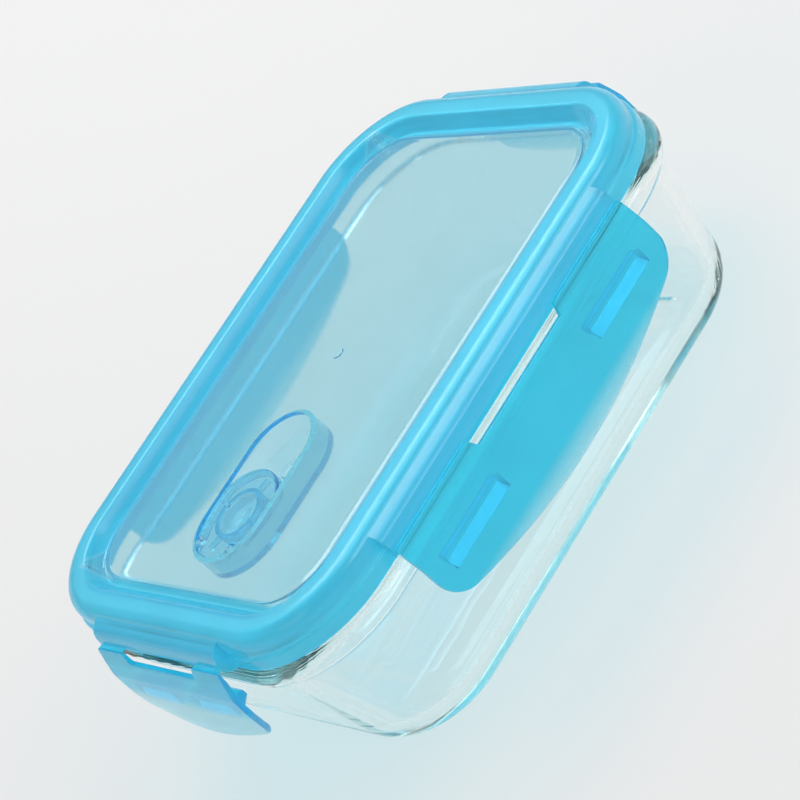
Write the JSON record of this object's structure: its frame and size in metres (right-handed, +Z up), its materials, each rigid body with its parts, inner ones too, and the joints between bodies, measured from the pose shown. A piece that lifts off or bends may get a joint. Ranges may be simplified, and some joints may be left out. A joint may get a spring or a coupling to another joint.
{
  "type": "glass storage container",
  "caption": "Rectangular glass food container with a clip-down plastic lid: side latches on living hinges, a seal ring and a flip-up vent.",
  "frame": {"origin": "centre of the dish's underside, on the surface it stands on", "axes": "+X along the long side towards the end away from the vent, +Y towards the back, +Z up"},
  "size_m": [0.2244, 0.1698, 0.069],
  "materials": {
    "glass": "polished",
    "blue_plastic": "satin",
    "clear_plastic": "gloss",
    "seal_silicone": "matte"
  },
  "bodies": {
    "dish": {"glass_dish": "glass"},
    "lid": {"lid_shell": "blue_plastic", "lid_seal": "seal_silicone", "hinge_web_front_a": "blue_plastic", "hinge_web_front_b": "blue_plastic", "hinge_web_back_a": "blue_plastic", "hinge_web_back_b": "blue_plastic", "hinge_web_left_a": "blue_plastic", "hinge_web_left_b": "blue_plastic", "hinge_web_right_a": "blue_plastic", "hinge_web_right_b": "blue_plastic"},
    "front_latch": {"latch_front": "blue_plastic"},
    "back_latch": {"latch_back": "blue_plastic"},
    "left_latch": {"latch_left": "blue_plastic"},
    "right_latch": {"latch_right": "blue_plastic"},
    "cap": {"vent_cap": "clear_plastic", "vent_plug": "seal_silicone"}
  },
  "joints": [
    {"name": "lid_lift", "type": "slide", "parent": "dish", "child": "lid", "axis": [0, 0, 1], "range_m": [0, 0.05]},
    {"name": "front_latch_hinge", "type": "hinge", "parent": "lid", "child": "front_latch", "pos_m": [0, -0.079, 0.0606], "axis": [-1, 0, 0], "range_deg": [-6, 110], "deforming": ["hinge_web_front_a", "hinge_web_front_b"]},
    {"name": "back_latch_hinge", "type": "hinge", "parent": "lid", "child": "back_latch", "pos_m": [0, 0.079, 0.0606], "axis": [1, 0, 0], "range_deg": [-6, 110], "deforming": ["hinge_web_back_a", "hinge_web_back_b"]},
    {"name": "left_latch_hinge", "type": "hinge", "parent": "lid", "child": "left_latch", "pos_m": [-0.1063, 0, 0.0606], "axis": [0, 1, 0], "range_deg": [-6, 110], "deforming": ["hinge_web_left_a", "hinge_web_left_b"]},
    {"name": "right_latch_hinge", "type": "hinge", "parent": "lid", "child": "right_latch", "pos_m": [0.1063, 0, 0.0606], "axis": [0, -1, 0], "range_deg": [-6, 110], "deforming": ["hinge_web_right_a", "hinge_web_right_b"]},
    {"name": "vent_cap_hinge", "type": "hinge", "parent": "lid", "child": "cap", "pos_m": [-0.0708, 0, 0.0647], "axis": [0, -1, 0], "range_deg": [0, 100]}
  ]
}
